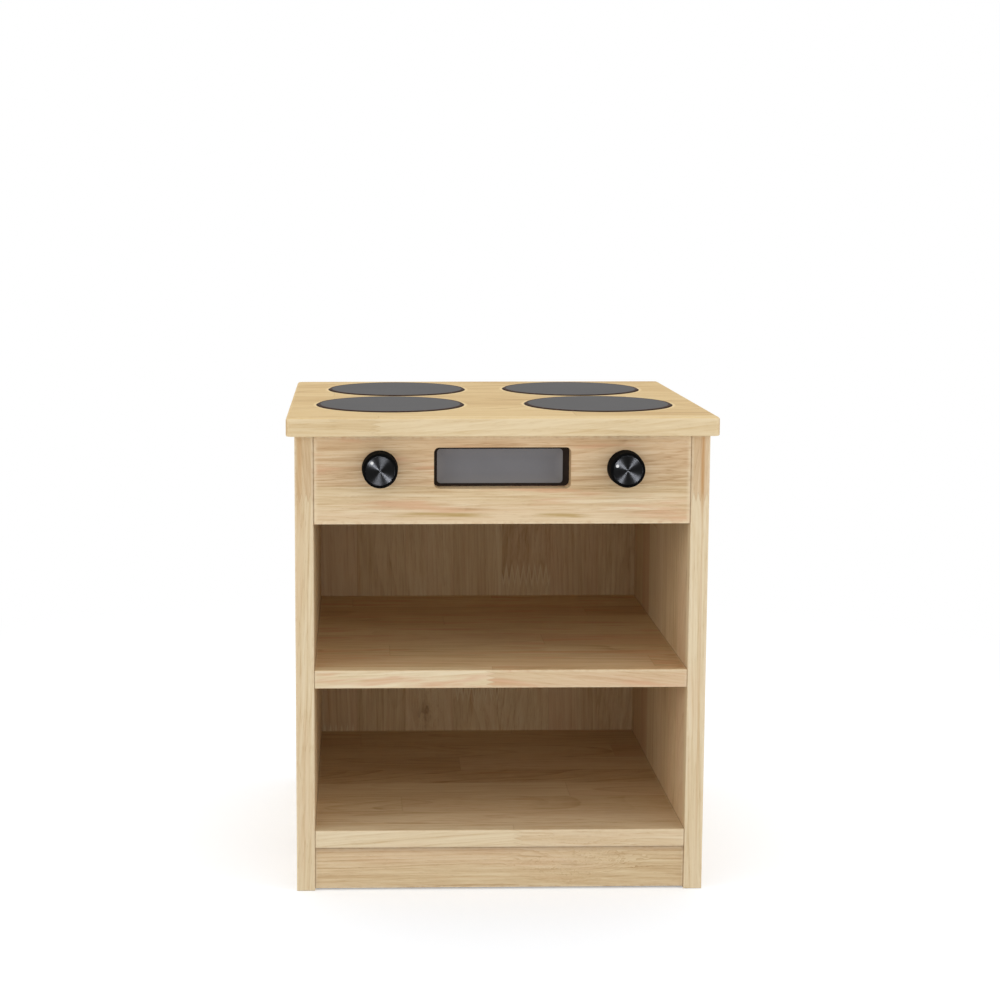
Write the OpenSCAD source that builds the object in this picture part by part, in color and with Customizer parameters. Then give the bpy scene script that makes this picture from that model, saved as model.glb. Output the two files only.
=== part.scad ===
// Toy oven: a free-standing wooden play stove with four hob plates, two turning knobs,
// a dummy display window and two open compartments.
// Millimetres. The front faces -Y, the width runs along X and the floor is z = 0.
// The origin lies on the floor at the middle of the whole object's plan.

/* [Cabinet] */
// Width over the outer faces of the two side panels
cabinet_w = 400; // [380:2:480]
// Depth of the side panels, from front edge to back edge
cabinet_d = 370; // [340:2:410]
// Height of the worktop surface above the floor
worktop_h = 470; // [440:2:540]
// Thickness of each side panel
side_t = 18; // [16:0.5:22]
// Radius of the softened front edges of the boards
edge_r = 1.5; // [0.5:0.25:3]

/* [Countertop] */
// Thickness of the countertop
top_t = 18; // [16:0.5:24]
// Overhang of the countertop past each side panel
top_side_over = 8; // [2:0.5:20]
// Overhang of the countertop past the front edges of the sides
top_front_over = 8; // [2:0.5:15]
// Radius of the countertop's corners in plan
top_corner_r = 6; // [5:0.5:12]
// Radius of the countertop's upper edge
top_edge_r = 2.5; // [1:0.25:4]
// Radius of the countertop's lower edge
top_under_r = 1.25; // [0.5:0.25:3]

/* [Hob plates] */
// Thickness of a hob plate
burner_t = 4; // [3:0.5:6]
// Height of a hob plate above the worktop
burner_proud = 1; // [0.5:0.25:2]
// Radius of the rounded upper edge of a hob plate
burner_edge_r = 0.6; // [0.2:0.1:0.8]
// Clearance round a hob plate in its pocket
burner_gap = 0.5; // [0.3:0.1:1.5]
// Wood left in front of the front plates
front_margin = 50; // [40:1:70]
// Wood left between the front and the back plates
row_gap = 12; // [8:1:30]
// Wood left behind the back plates
back_margin = 20; // [12:1:40]
// Wood left beside the front plates, to the countertop's ends
front_side_margin = 28; // [20:1:50]
// Wood left beside the back plates, to the countertop's ends
back_side_margin = 38; // [20:1:55]

/* [Fascia] */
// Height of the fascia board
fascia_h = 86; // [80:1:110]
// Thickness of the fascia board
fascia_t = 18; // [15:0.5:22]
// Distance of the fascia behind the side panels' front edges
fascia_setback = 0.5; // [0:0.25:4]
// Radius of the softened arrises round the fascia
fascia_edge_r = 0.9; // [0.3:0.1:2]

/* [Display window] */
// Width of the window in the fascia
window_w = 132; // [100:1:150]
// Height of the window in the fascia
window_h = 40; // [30:1:44]
// Corner radius of the window
window_r = 5; // [4:0.5:9]
// Wood left above the window
window_top_wood = 11.5; // [10:0.5:16]
// Mean gap left and right of the display panel inside the window
display_side_gap = 5; // [1:0.25:6]
// Share of those two gaps that lies left of the panel
display_left_share = 0.35; // [0.2:0.05:0.8]
// Mean gap above and below the display panel
display_level_gap = 3.25; // [1:0.25:4]
// Share of those two gaps that lies above the panel
display_top_share = 0.5; // [0.2:0.05:0.8]
// Corner radius of the display panel
display_r = 3.5; // [1:0.5:6]
// Thickness of the display panel
display_t = 2.5; // [2:0.5:8]
// Thickness of the backing plate behind the window
backing_t = 3; // [2:0.5:5]
// Lap of the backing plate over the fascia's back, all round the window
backing_lap = 9; // [8:0.5:9.5]
// Corner radius of the backing plate
backing_r = 4; // [2:0.5:8]

/* [Shelves and plinth] */
// Thickness of the middle shelf
shelf_t = 18; // [15:0.5:22]
// Height of the middle shelf's upper face above the floor
shelf_top_h = 222; // [190:1:250]
// Thickness of the bottom board
bottom_t = 18; // [15:0.5:22]
// Height of the bottom board's upper face above the floor
bottom_top_h = 61; // [52:1:90]
// Distance of both boards behind the side panels' front edges
shelf_setback = 0.5; // [0:0.25:6]
// Thickness of the plinth board
plinth_t = 18; // [15:0.5:22]
// Gap between the plinth and the floor
plinth_lift = 2; // [0.5:0.5:8]
// Distance of the plinth behind the side panels' front edges
plinth_setback = 2; // [0:0.25:10]

/* [Back panel] */
// Thickness of the back panel
back_t = 12; // [9:0.5:15]
// Distance of the back panel inside the side panels' back edges
back_inset = 6; // [3:0.5:12]
// Depth of the grooves that hold the back panel
groove_d = 6; // [4:0.5:8]
// Clearance of the back panel in its grooves
groove_gap = 0.1; // [0.05:0.05:0.3]

/* [Cleats] */
// Width and height of the battens under the countertop
cleat_s = 20; // [18:1:28]

/* [Knobs] */
// Diameter of a knob at the fascia
knob_d = 35; // [32:0.5:42]
// Diameter of a knob at its front edge
knob_face_d = 33.4; // [31:0.2:42]
// Height of a knob's moulded body
knob_h = 19.2; // [17:0.2:26]
// Running gap between a knob and the fascia
knob_gap = 0.8; // [0.5:0.1:1.4]
// Distance of the knobs' axes from the inner faces of the side panels
knob_inset = 64; // [45:1:74]
// Wall of a knob's moulded body
knob_wall = 2; // [1.6:0.1:2.5]
// Radius of a knob's front edge
knob_edge_r = 1.4; // [0.6:0.1:2]
// Diameter of the metal inlay in a knob's face
inlay_d = 28.4; // [24:0.2:29]
// Thickness of the metal inlay
inlay_t = 1; // [0.8:0.1:1.6]
// Depth of the turned dish in the inlay's face
inlay_dish = 0.35; // [0.1:0.05:0.5]
// Diameter of the index mark on a knob
mark_d = 3; // [2:0.2:4]
// Distance of the index mark from a knob's axis
mark_inset = 11; // [8:0.2:11.6]
// Direction of the left knob's mark at rest, anticlockwise from +X seen from the front
left_mark_angle = 135; // [0:1:359]
// Direction of the right knob's mark at rest
right_mark_angle = 157; // [0:1:359]

/* [Knob bearings] */
// Diameter of a spindle
spindle_d = 6; // [5:0.5:7]
// Outer diameter of the threaded bush in the fascia
bush_d = 10; // [9:0.5:12]
// Diameter of the bush's front flange
bush_flange_d = 15; // [14:0.5:18]
// Thickness of the bush's front flange
bush_flange_t = 1.5; // [1:0.1:2]
// Length of the bush behind the fascia
bush_tail = 6; // [5.5:0.5:10]
// Running clearance of a spindle in its bush, on the radius
spindle_run = 0.05; // [0.02:0.01:0.09]
// Width of the bush nut across its flats
nut_af = 14; // [14:0.5:18]
// Thickness of the bush nut
nut_t = 3.2; // [2.5:0.1:4]
// Diameter of the washer under the bush nut
washer_d = 18; // [17:0.5:24]
// Thickness of that washer
washer_t = 1; // [0.6:0.1:1.4]

/* [Fixings] */
// Length of the cabinet screws through the side panels
side_screw_len = 50; // [40:1:60]
// Distance of the shelf screws from the shelves' ends
screw_inset = 50; // [35:1:80]
// Diameter of the wooden dowels
dowel_d = 8; // [6:0.5:10]
// Length of the wooden dowels
dowel_len = 30; // [26:1:40]
// Depth of a dowel in the side panel
dowel_bite = 12; // [8:0.5:13]
// Distance of the shelf dowels from the shelves' ends
dowel_inset = 92; // [85:1:130]
// Length of the screws through the back panel
back_screw_len = 40; // [30:1:50]
// Length of the screws in the cleats
cleat_screw_len = 30; // [26:1:31]
// Distance of the cleat screws from the cleats' ends
cleat_screw_inset = 40; // [25:1:80]
// Length of the small screws that hold the display backing
display_screw_len = 12; // [9:0.5:14]
// Clearance round a fixing in its hole, on the radius
fixing_gap = 0.1; // [0.05:0.05:0.2]

/* [Hidden] */
$fn = 48;

// Colours
pine = "#dcc39c";
pine_shade = "#c9a985";
hob_grey = "#6a696b";
gloss_black = "#151517";
spun_metal = "#3b3c40";
steel = "#b9bcc0";
brass = "#c2a25a";
beech = "#cfae82";

// Fineness of the rounded arrises, and the overlap that cutting bodies reach past a face
round_steps = 5;
past = 1;

// Places along Y: the knobs reach furthest forward, and the origin halves the whole depth
knob_reach = knob_gap + knob_h;
front_reach = max(knob_reach - fascia_setback, top_front_over);
front_y = front_reach - (front_reach + cabinet_d) / 2;
back_y = front_y + cabinet_d;
back_face_y = back_y - back_inset - back_t;
fascia_front_y = front_y + fascia_setback;
fascia_back_y = fascia_front_y + fascia_t;
fascia_mid_y = fascia_front_y + fascia_t / 2;
shelf_front_y = front_y + shelf_setback;
shelf_d = back_face_y - shelf_front_y;
plinth_front_y = front_y + plinth_setback;
plinth_mid_y = plinth_front_y + plinth_t / 2;
top_front_y = front_y - top_front_over;
top_w = cabinet_w + 2 * top_side_over;
top_d = cabinet_d + top_front_over;

// Places along Z
side_h = worktop_h - top_t;
fascia_z = side_h - fascia_h;
fascia_mid_z = fascia_z + fascia_h / 2;
shelf_z = shelf_top_h - shelf_t;
shelf_mid_z = shelf_z + shelf_t / 2;
bottom_z = bottom_top_h - bottom_t;
bottom_mid_z = bottom_z + bottom_t / 2;
plinth_h = bottom_z - plinth_lift;
plinth_mid_z = plinth_lift + plinth_h / 2;
window_mid_z = side_h - window_top_wood - window_h / 2;
knob_z = window_mid_z;
back_top_gap = 0.5;
back_h = side_h - back_top_gap - bottom_z;

// Places along X
half_w = cabinet_w / 2;
inner_w = cabinet_w - 2 * side_t;
knob_x = inner_w / 2 - knob_inset;
cleat_x = inner_w / 2 - cleat_s;
cleat_len = back_face_y - fascia_back_y;

// Hob plates: two rows fill the countertop's depth between the margins
burner_d = (top_d - front_margin - row_gap - back_margin) / 2;
front_row_y = top_front_y + front_margin + burner_d / 2;
back_row_y = back_y - back_margin - burner_d / 2;
front_pair_x = top_w / 2 - front_side_margin - burner_d / 2;
back_pair_x = top_w / 2 - back_side_margin - burner_d / 2;
burner_spots = [
    [-front_pair_x, front_row_y], [front_pair_x, front_row_y],
    [-back_pair_x, back_row_y], [back_pair_x, back_row_y]
];
pocket_depth = burner_t - burner_proud;

// Display
display_w = window_w - 2 * display_side_gap;
display_h = window_h - 2 * display_level_gap;
display_mid_x = (2 * display_left_share - 1) * display_side_gap;
display_mid_z = window_mid_z + (1 - 2 * display_top_share) * display_level_gap;
backing_w = window_w + 2 * backing_lap;
backing_h = window_h + 2 * backing_lap;
display_screw_r = 1.5;
display_head_r = 2.8;
display_head_t = 1.8;
display_screw_x = window_w / 2 + backing_lap / 2;
display_screw_z = window_h / 2 - window_r;

// Knob section, with z counted outwards from the fascia's front face
knob_base_r = knob_d / 2;
knob_top_r = knob_face_d / 2;
inlay_r = inlay_d / 2;
inlay_fit = 0.05;
inlay_floor_z = knob_reach - inlay_t;
knob_web_t = 2.4;
cavity_top_z = inlay_floor_z - knob_web_t;
hub_r = spindle_d / 2 + 2.6;
rib_t = 1.6;
rib_count = 4;
rib_drop = 3;
rib_end_r = (knob_base_r + knob_top_r) / 2 - 0.6 * knob_wall;
mark_r = mark_d / 2;
mark_proud = 0.25;
mark_sink = 0.8;

// Spindle, collar and retaining clip
spindle_r = spindle_d / 2;
collar_r = spindle_r + 1.5;
collar_gap = 0.2;
collar_t = 1.5;
collar_z = bush_flange_t + collar_gap;
hub_z = collar_z + collar_t + 0.3;
tip_z = cavity_top_z - 0.6;
tip_flat = 0.9;
tip_fit = 0.02;
tip_chamfer = 0.5;
clip_t = 0.8;
clip_gap = 0.3;
clip_bore_r = spindle_r - 0.5;
clip_r = spindle_r + 2;
clip_mouth = 0.8 * spindle_d;
clip_fit = 0.05;
bush_r = bush_d / 2;
bush_len = fascia_t + bush_tail;
bush_chamfer = 0.4;
clip_z = -bush_len - clip_gap - clip_t;
spindle_tail_z = clip_z - 1.5;
thread_fit = 0.05;
nut_r = nut_af / 2 / cos(30);
nut_bevel = 0.5;

// Fixings
screw_shank_r = 3.5;
screw_core_r = 2.6;
screw_head_r = 5;
screw_head_t = 1;
screw_cone_t = 1.6;
screw_point = 3;
screw_socket_r = 2.3;
screw_socket_d = 2.2;
wood_screw_r = 2;
wood_screw_head_r = 3.9;
wood_screw_cone_t = 2.2;
wood_screw_point = 4;
cross_w = 0.9;
cross_l = 4.4;
cross_d = 1.3;
back_screw_count = 3;
dowel_r = dowel_d / 2;
dowel_chamfer = 0.8;
dowel_end_gap = 0.5;
fascia_dowel_dz = fascia_h / 2 - 15;
shelf_screw_ys = [shelf_front_y + screw_inset, back_face_y - screw_inset];
shelf_dowel_ys = [shelf_front_y + dowel_inset, back_face_y - dowel_inset];
cleat_end_ys = [fascia_back_y + cleat_screw_inset, back_face_y - cleat_screw_inset];
cleat_stagger = 12;
fascia_screw_spots = [[fascia_mid_y, fascia_mid_z]];
plinth_screw_spots = [[plinth_mid_y, plinth_mid_z]];
fascia_dowel_spots = [for (way = [-1, 1]) [fascia_mid_y, fascia_mid_z + way * fascia_dowel_dz]];
function shelf_screw_spots(z) = [for (y = shelf_screw_ys) [y, z]];
function shelf_dowel_spots(z) = [for (y = shelf_dowel_ys) [y, z]];
all_screw_spots = concat(shelf_screw_spots(bottom_mid_z), shelf_screw_spots(shelf_mid_z),
    fascia_screw_spots, plinth_screw_spots);
all_dowel_spots = concat(shelf_dowel_spots(bottom_mid_z), shelf_dowel_spots(shelf_mid_z),
    fascia_dowel_spots);

// One rounded corner of an outline: a quarter turn about c, or the bare point where r is 0
function turn(c, r, from) =
    r > 0 ? [for (i = [0:round_steps]) c + r * [cos(from + 90 * i / round_steps), sin(from + 90 * i / round_steps)]] : [c];

// A rectangle from the origin with its own radius at each corner, anticlockwise from the origin
module outline(w, h, radii) {
    polygon(concat(
        turn([radii[0], radii[0]], radii[0], 180),
        turn([w - radii[1], radii[1]], radii[1], 270),
        turn([w - radii[2], h - radii[2]], radii[2], 0),
        turn([radii[3], h - radii[3]], radii[3], 90)));
}

// A rectangle about the origin with four equal corners
module centred_outline(w, h, r) {
    translate([-w / 2, -h / 2]) outline(w, h, [r, r, r, r]);
}

// A board from its low corner: plan gives the radii seen from above, end those seen from +X
module board(size, plan, end) {
    intersection() {
        linear_extrude(size[2]) outline(size[0], size[1], plan);
        rotate([90, 0, 90]) linear_extrude(size[0]) outline(size[1], size[2], end);
    }
}

// The right-hand half as drawn, or its mirror image on the left
module on_side(side) {
    if (side < 0) mirror([1, 0, 0]) children();
    else children();
}

// Local z points outwards from the fascia's front face, x and y stay right and up
module on_fascia(x) {
    translate([x, fascia_front_y, knob_z]) rotate([90, 0, 0]) children();
}

// Local z points inwards from a side panel's outer face, at each y, z spot
module at_side_spots(side, spots) {
    on_side(side) for (spot = spots) translate([half_w, spot[0], spot[1]]) rotate([0, -90, 0]) children();
}

// Local z points inwards from a side panel's inner face, at each y, z spot
module at_inner_spots(side, spots) {
    on_side(side) for (spot = spots) translate([inner_w / 2, spot[0], spot[1]]) rotate([0, -90, 0]) children();
}

// Cabinet screw with a flush head and a hexagon socket; its head face lies at z = 0
module side_screw_form(grow) {
    rotate_extrude() polygon([
        [0, -(grow > 0 ? past : 0)], [screw_head_r + grow, -(grow > 0 ? past : 0)],
        [screw_head_r + grow, screw_head_t + grow], [screw_shank_r + grow, screw_head_t + screw_cone_t + grow],
        [screw_shank_r + grow, side_t], [screw_core_r + grow, side_t],
        [screw_core_r + grow, side_screw_len - screw_point], [0, side_screw_len + grow]
    ]);
}

module side_screw() {
    difference() {
        side_screw_form(0);
        translate([0, 0, -past]) cylinder(r = screw_socket_r, h = screw_socket_d + past, $fn = 6);
    }
}

// Countersunk wood screw; its head face lies at z = 0
module wood_screw_form(length, grow) {
    rotate_extrude() polygon([
        [0, -(grow > 0 ? past : 0)], [wood_screw_head_r + grow, -(grow > 0 ? past : 0)],
        [wood_screw_head_r + grow, grow], [wood_screw_r + grow, wood_screw_cone_t + grow],
        [wood_screw_r + grow, length - wood_screw_point], [0, length + grow]
    ]);
}

module wood_screw(length) {
    difference() {
        wood_screw_form(length, 0);
        for (a = [0, 90]) rotate([0, 0, a]) translate([-cross_l / 2, -cross_w / 2, -past])
            cube([cross_l, cross_w, cross_d + past]);
    }
}

// Small round-headed screw; the head's seat lies at z = 0 and the head stands below it
module round_screw_form(length, grow) {
    cylinder(r = display_screw_r + grow, h = length + grow);
}

module round_screw(length) {
    difference() {
        union() {
            round_screw_form(length, 0);
            rotate_extrude() polygon(concat([[0, 0], [0, -display_head_t]],
                [for (i = [1:round_steps]) let (a = 90 * i / round_steps)
                    [display_head_r * sin(a), -display_head_t * cos(a)]]));
        }
        for (a = [0, 90]) rotate([0, 0, a])
            translate([-display_head_r * 0.6, -cross_w / 2, -display_head_t - past])
                cube([display_head_r * 1.2, cross_w, past + display_head_t / 2]);
    }
}

// Dowel with chamfered ends, from z = 0; grow widens and lengthens it into its hole
module dowel_form(grow) {
    r = dowel_r + grow;
    end = grow > 0 ? dowel_end_gap : 0;
    chamfer = grow > 0 ? 0 : dowel_chamfer;
    rotate_extrude() polygon([
        [0, -end], [r - chamfer, -end], [r, chamfer - end],
        [r, dowel_len - chamfer + end], [r - chamfer, dowel_len + end], [0, dowel_len + end]
    ]);
}

module screw_holes(spots) {
    for (side = [-1, 1]) at_side_spots(side, spots) side_screw_form(fixing_gap);
}

module dowel_holes(spots) {
    for (side = [-1, 1]) at_inner_spots(side, spots) translate([0, 0, -dowel_bite]) dowel_form(fixing_gap);
}

// The screws of one cleat: into the side panel, and up into the countertop
module at_cleat_side_screws(side) {
    on_side(side) for (y = cleat_end_ys)
        translate([cleat_x, y, side_h - cleat_s / 2]) rotate([0, 90, 0]) children();
}

module at_cleat_top_screws(side) {
    on_side(side) for (i = [0, 1])
        translate([cleat_x + cleat_s / 2, cleat_end_ys[i] + (1 - 2 * i) * cleat_stagger, side_h - cleat_s])
            children();
}

// The screws through the back panel, into the back edges of both shelves
module at_back_screws() {
    for (z = [bottom_mid_z, shelf_mid_z], i = [0:back_screw_count - 1])
        translate([inner_w * ((i + 0.5) / back_screw_count - 0.5), back_y - back_inset, z])
            rotate([90, 0, 0]) children();
}

// The screws through the display backing, into the fascia's back
module at_display_screws() {
    for (sx = [-1, 1], sz = [-1, 1])
        translate([sx * display_screw_x, fascia_back_y + backing_t, window_mid_z + sz * display_screw_z])
            rotate([90, 0, 0]) children();
}

// Side panel with a stopped groove for the back panel
module side_panel(side) {
    color(pine) difference() {
        on_side(side) translate([inner_w / 2, front_y, 0])
            board([side_t, cabinet_d, side_h], [edge_r, edge_r, edge_r, edge_r], [edge_r, edge_r, 0, 0]);
        on_side(side) translate([inner_w / 2 - past, back_face_y - groove_gap, bottom_z])
            cube([groove_d + past, back_t + 2 * groove_gap, side_h]);
        at_side_spots(side, all_screw_spots) side_screw_form(fixing_gap);
        at_inner_spots(side, all_dowel_spots) translate([0, 0, -dowel_bite]) dowel_form(fixing_gap);
        at_cleat_side_screws(side) wood_screw_form(cleat_screw_len, fixing_gap);
    }
}

// Countertop with rounded corners and edges, and four round pockets for the hob plates
module countertop() {
    color(pine) difference() {
        hull() for (x = [-1, 1] * (top_w / 2 - top_corner_r), y = [top_front_y + top_corner_r, back_y - top_corner_r])
            translate([x, y, side_h]) top_corner();
        for (spot = burner_spots) translate([spot[0], spot[1], worktop_h - pocket_depth])
            cylinder(d = burner_d + 2 * burner_gap, h = pocket_depth + past, $fn = 96);
        for (side = [-1, 1]) at_cleat_top_screws(side) wood_screw_form(cleat_screw_len, fixing_gap);
    }
}

// One corner of the countertop, turned from the section of its edge
module top_corner() {
    rotate_extrude($fn = 32) polygon(concat([[0, 0]],
        turn([top_corner_r - top_under_r, top_under_r], top_under_r, 270),
        turn([top_corner_r - top_edge_r, top_t - top_edge_r], top_edge_r, 0),
        [[0, top_t]]));
}

// Fascia board with the display window, two stepped bush holes and its fixing holes
module fascia() {
    color(pine_shade) difference() {
        translate([-inner_w / 2, fascia_front_y, fascia_z])
            board([inner_w, fascia_t, fascia_h], [fascia_edge_r, fascia_edge_r, 0, 0],
                [fascia_edge_r, 0, 0, fascia_edge_r]);
        translate([0, fascia_back_y + past, window_mid_z]) rotate([90, 0, 0])
            linear_extrude(fascia_t + 2 * past) centred_outline(window_w, window_h, window_r);
        for (x = [-knob_x, knob_x]) on_fascia(x) translate([0, 0, -fascia_t - past])
            cylinder(r = bush_r + fixing_gap, h = fascia_t + 2 * past);
        screw_holes(fascia_screw_spots);
        dowel_holes(fascia_dowel_spots);
        at_display_screws() round_screw_form(display_screw_len, fixing_gap);
    }
}

// A shelf board between the side panels, butting against the back panel
module shelf(z, t) {
    color(pine) difference() {
        translate([-inner_w / 2, shelf_front_y, z])
            board([inner_w, shelf_d, t], [edge_r, edge_r, 0, 0], [edge_r, 0, 0, edge_r]);
        screw_holes(shelf_screw_spots(z + t / 2));
        dowel_holes(shelf_dowel_spots(z + t / 2));
        at_back_screws() wood_screw_form(back_screw_len, fixing_gap);
    }
}

module plinth() {
    color(pine) difference() {
        translate([-inner_w / 2, plinth_front_y, plinth_lift])
            board([inner_w, plinth_t, plinth_h], [fascia_edge_r, fascia_edge_r, 0, 0],
                [fascia_edge_r, 0, 0, fascia_edge_r]);
        screw_holes(plinth_screw_spots);
    }
}

// Back panel, held on both sides in the side panels' grooves
module back_panel() {
    w = inner_w + 2 * (groove_d - groove_gap);
    color(pine_shade) difference() {
        translate([-w / 2, back_face_y, bottom_z]) cube([w, back_t, back_h]);
        at_back_screws() wood_screw_form(back_screw_len, fixing_gap);
    }
}

module cleat(side) {
    color(pine_shade) difference() {
        on_side(side) translate([cleat_x, fascia_back_y, side_h - cleat_s])
            board([cleat_s, cleat_len, cleat_s], [0, 0, 0, 0], [0, 0, 0, 0]);
        at_cleat_side_screws(side) wood_screw_form(cleat_screw_len, fixing_gap);
        at_cleat_top_screws(side) wood_screw_form(cleat_screw_len, fixing_gap);
    }
}

// Hob plate: a flat disc with a rounded upper edge, lying in its pocket
module burner(spot) {
    color(hob_grey) translate([spot[0], spot[1], worktop_h - pocket_depth])
        rotate_extrude($fn = 96) polygon(concat([[0, 0], [burner_d / 2, 0]],
            turn([burner_d / 2 - burner_edge_r, burner_t - burner_edge_r], burner_edge_r, 0),
            [[0, burner_t]]));
}

module display_panel() {
    color(hob_grey) translate([display_mid_x, fascia_back_y, display_mid_z]) rotate([90, 0, 0])
        linear_extrude(display_t) centred_outline(display_w, display_h, display_r);
}

module display_backing() {
    color(gloss_black) difference() {
        translate([0, fascia_back_y + backing_t, window_mid_z]) rotate([90, 0, 0])
            linear_extrude(backing_t) centred_outline(backing_w, backing_h, backing_r);
        at_display_screws() translate([0, 0, -past]) round_screw_form(display_screw_len, fixing_gap);
    }
}

module display_screws() {
    color(steel) at_display_screws() round_screw(display_screw_len);
}

// Moulded knob: a hollow cap with a front recess, a keyed hub and ribs inside
module knob_body(angle) {
    color(gloss_black) difference() {
        union() {
            rotate_extrude($fn = 96) knob_section();
            translate([0, 0, hub_z]) cylinder(r = hub_r, h = cavity_top_z - hub_z + past);
            for (i = [0:rib_count - 1]) rotate([0, 0, angle + 360 * (i + 0.5) / rib_count])
                translate([0, -rib_t / 2, hub_z + rib_drop])
                    cube([rib_end_r, rib_t, cavity_top_z - hub_z - rib_drop + past]);
        }
        rotate([0, 0, angle]) spindle_tip(tip_fit);
        rotate([0, 0, angle]) translate([mark_inset, 0, inlay_floor_z - mark_sink])
            cylinder(r = mark_r + inlay_fit, h = mark_sink + past);
    }
}

// Half section of the knob's cap
module knob_section() {
    polygon(concat(
        [[knob_base_r - knob_wall, knob_gap], [knob_base_r, knob_gap]],
        turn([knob_top_r - knob_edge_r, knob_reach - knob_edge_r], knob_edge_r, 0),
        [[inlay_r + inlay_fit, knob_reach], [inlay_r + inlay_fit, inlay_floor_z], [0, inlay_floor_z],
            [0, cavity_top_z], [knob_top_r - knob_wall, cavity_top_z]]));
}

// Turned metal face with a shallow dish, let into the knob's front
module knob_inlay(angle) {
    color(spun_metal) difference() {
        rotate_extrude($fn = 96) polygon([
            [0, inlay_floor_z], [inlay_r, inlay_floor_z], [inlay_r, knob_reach - 0.1],
            [inlay_r - 0.3, knob_reach], [0, knob_reach - inlay_dish]
        ]);
        rotate([0, 0, angle]) translate([mark_inset, 0, inlay_floor_z - past])
            cylinder(r = mark_r + inlay_fit, h = inlay_t + 2 * past);
    }
}

// Index mark: a white peg through the inlay into the knob
module knob_mark(angle) {
    color("white") rotate([0, 0, angle]) translate([mark_inset, 0, inlay_floor_z - mark_sink])
        cylinder(r = mark_r, h = mark_sink + inlay_t - mark_proud);
}

// The flatted end of the spindle, which keys the knob; grow widens it into the hub's bore
module spindle_tip(grow) {
    difference() {
        translate([0, 0, hub_z - past]) cylinder(r = spindle_r + grow, h = tip_z - hub_z + past + (grow > 0 ? 0.4 : 0));
        translate([spindle_r - tip_flat + grow, -spindle_d, hub_z - 2 * past])
            cube([spindle_d, 2 * spindle_d, tip_z - hub_z + 4 * past]);
    }
}

// Spindle with a collar in front of the bush, a clip groove behind it and a flatted end
module spindle(angle) {
    color(steel) difference() {
        rotate_extrude() polygon([
            [0, spindle_tail_z], [spindle_r - tip_chamfer, spindle_tail_z], [spindle_r, spindle_tail_z + tip_chamfer],
            [spindle_r, clip_z - clip_fit], [clip_bore_r, clip_z - clip_fit],
            [clip_bore_r, clip_z + clip_t + clip_fit], [spindle_r, clip_z + clip_t + clip_fit],
            [spindle_r, collar_z], [collar_r, collar_z], [collar_r, collar_z + collar_t], [spindle_r, collar_z + collar_t],
            [spindle_r, tip_z - tip_chamfer], [spindle_r - tip_chamfer, tip_z], [0, tip_z]
        ]);
        rotate([0, 0, angle]) translate([spindle_r - tip_flat, -spindle_d, collar_z + collar_t])
            cube([spindle_d, 2 * spindle_d, tip_z]);
    }
}

// Open retaining ring in the spindle's groove
module circlip(angle) {
    color(steel) translate([0, 0, clip_z]) difference() {
        cylinder(r = clip_r, h = clip_t);
        translate([0, 0, -past]) cylinder(r = clip_bore_r + clip_fit, h = clip_t + 2 * past);
        rotate([0, 0, angle]) translate([0, -clip_mouth / 2, -past]) cube([2 * clip_r, clip_mouth, clip_t + 2 * past]);
    }
}

// Flanged bush through the fascia
module bush() {
    bore_r = spindle_r + spindle_run;
    color(brass) rotate_extrude() polygon([
        [bore_r, -bush_len], [bush_r - bush_chamfer, -bush_len], [bush_r, bush_chamfer - bush_len], [bush_r, 0],
        [bush_flange_d / 2, 0], [bush_flange_d / 2, bush_flange_t - bush_chamfer],
        [bush_flange_d / 2 - bush_chamfer, bush_flange_t], [bore_r, bush_flange_t]
    ]);
}

module bush_washer() {
    color(steel) translate([0, 0, -fascia_t - washer_t]) difference() {
        cylinder(d = washer_d, h = washer_t);
        translate([0, 0, -past]) cylinder(r = bush_r + thread_fit, h = washer_t + 2 * past);
    }
}

// Hexagon nut with bevelled corners
module bush_nut() {
    color(brass) translate([0, 0, -fascia_t - washer_t - nut_t]) difference() {
        intersection() {
            cylinder(r = nut_r, h = nut_t, $fn = 6);
            rotate_extrude() polygon([
                [0, 0], [nut_r - nut_bevel, 0], [nut_r + past, (nut_bevel + past) / 2],
                [nut_r + past, nut_t - (nut_bevel + past) / 2], [nut_r - nut_bevel, nut_t], [0, nut_t]
            ]);
        }
        translate([0, 0, -past]) cylinder(r = bush_r + thread_fit, h = nut_t + 2 * past);
    }
}

module side_screws() {
    color(steel) for (side = [-1, 1]) at_side_spots(side, all_screw_spots) side_screw();
}

module dowels() {
    color(beech) for (side = [-1, 1]) at_inner_spots(side, all_dowel_spots)
        translate([0, 0, -dowel_bite]) dowel_form(0);
}

module back_screws() {
    color(steel) at_back_screws() wood_screw(back_screw_len);
}

module cleat_side_screws() {
    color(steel) for (side = [-1, 1]) at_cleat_side_screws(side) wood_screw(cleat_screw_len);
}

module cleat_top_screws() {
    color(steel) for (side = [-1, 1]) at_cleat_top_screws(side) wood_screw(cleat_screw_len);
}

side_panel(-1);  // left_side
side_panel(1);  // right_side
countertop();
fascia();
shelf(shelf_z, shelf_t);  // middle_shelf
shelf(bottom_z, bottom_t);  // bottom_board
plinth();
back_panel();
cleat(-1);  // left_cleat
cleat(1);  // right_cleat
burner(burner_spots[0]);  // burner_front_left
burner(burner_spots[1]);  // burner_front_right
burner(burner_spots[2]);  // burner_back_left
burner(burner_spots[3]);  // burner_back_right
display_panel();
display_backing();
display_screws();
on_fascia(-knob_x) knob_body(left_mark_angle);  // left_knob_body
on_fascia(-knob_x) knob_inlay(left_mark_angle);  // left_knob_inlay
on_fascia(-knob_x) knob_mark(left_mark_angle);  // left_knob_mark
on_fascia(-knob_x) spindle(left_mark_angle);  // left_spindle
on_fascia(-knob_x) circlip(left_mark_angle);  // left_circlip
on_fascia(-knob_x) bush();  // left_bush
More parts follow.
